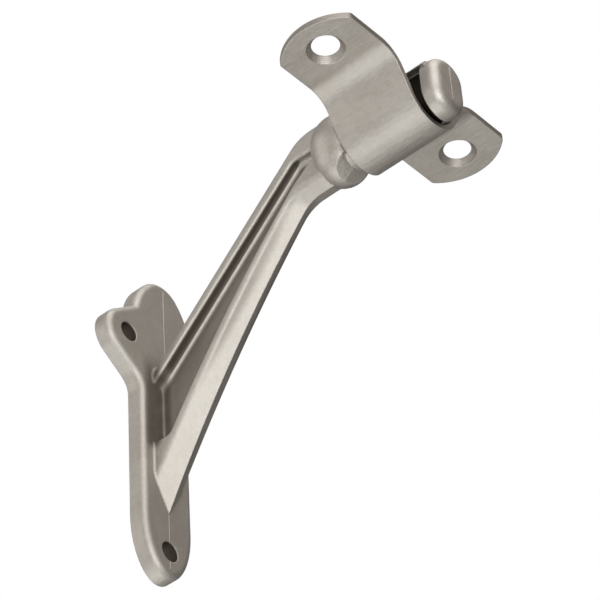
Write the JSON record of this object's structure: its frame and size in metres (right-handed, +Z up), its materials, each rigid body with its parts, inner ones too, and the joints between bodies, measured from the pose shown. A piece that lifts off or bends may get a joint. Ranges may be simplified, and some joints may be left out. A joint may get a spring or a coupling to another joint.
{
  "type": "handrail bracket",
  "caption": "Cast handrail bracket with a waisted wall plate, a rising ribbed arm, a ball head and a folded strap that screws to the rail.",
  "frame": {"origin": "middle of the wall plate's back face", "axes": "+X out of the wall, +Y along the rail, +Z up"},
  "size_m": [0.0843, 0.0568, 0.0899],
  "materials": {
    "casting": "satin nickel plate, fine grain",
    "strap": "satin nickel plate, fine grain"
  },
  "bodies": {
    "bracket": {"cast_bracket": "casting"},
    "strap": {"rail_strap": "strap"}
  },
  "joints": [
    {"name": "strap_tilt", "type": "hinge", "parent": "bracket", "child": "strap", "pos_m": [0.06953, 0, 0.0425], "axis": [1, 0, 0], "range_deg": [-35, 35]}
  ]
}
